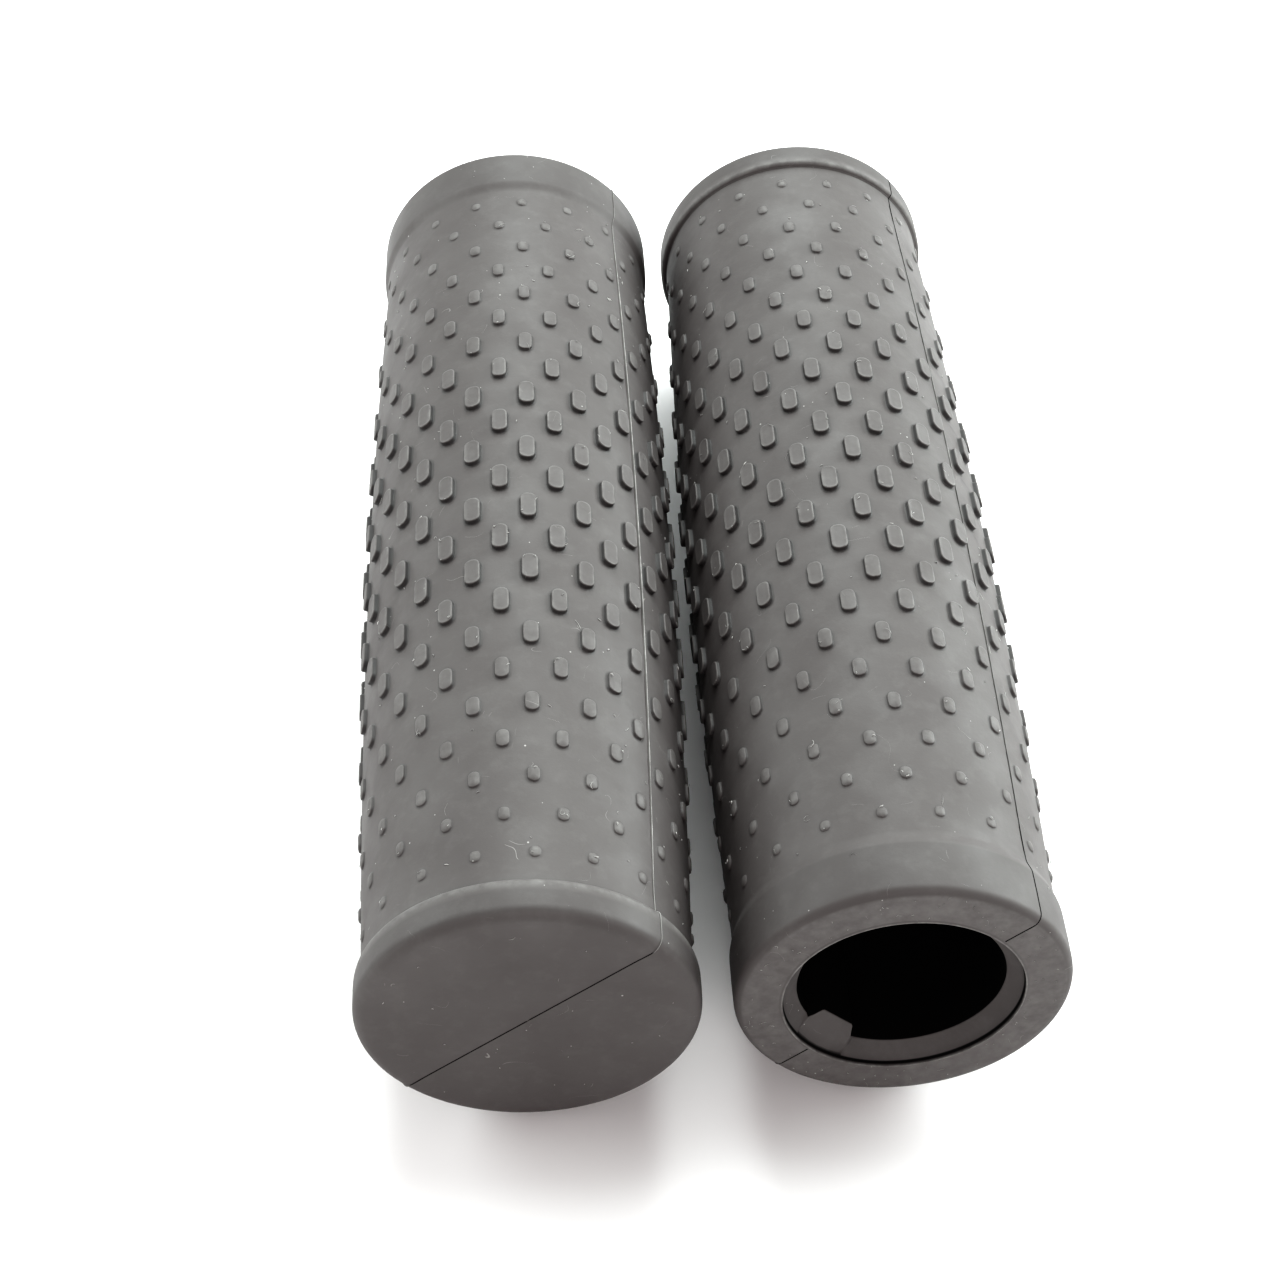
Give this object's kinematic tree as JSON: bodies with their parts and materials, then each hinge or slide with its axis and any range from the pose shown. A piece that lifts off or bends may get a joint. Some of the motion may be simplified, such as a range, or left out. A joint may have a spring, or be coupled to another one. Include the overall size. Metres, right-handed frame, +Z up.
{
  "type": "bar end grips",
  "caption": "Pair of black rubber slip-on handlebar grips: flanged, closed at one end, with staggered raised pads and a keyed blind bore.",
  "frame": {"origin": "middle of the pair on the surface it lies on", "axes": "+Z up, +Y along the grips; the left grip's mouth faces +Y and the right grip's mouth faces -Y; +X from the left grip to the right grip"},
  "size_m": [0.0754, 0.1282, 0.0372],
  "materials": {
    "grip_rubber": "satin black moulded silicone rubber, dusty"
  },
  "bodies": {
    "left_grip": {"left_grip": "grip_rubber"},
    "right_grip": {"right_grip": "grip_rubber"}
  },
  "joints": [
    {"name": "right_grip_slide", "type": "slide", "parent": "left_grip", "child": "right_grip", "axis": [-0.008, 1, 0], "range_m": [0, 0.06]}
  ]
}
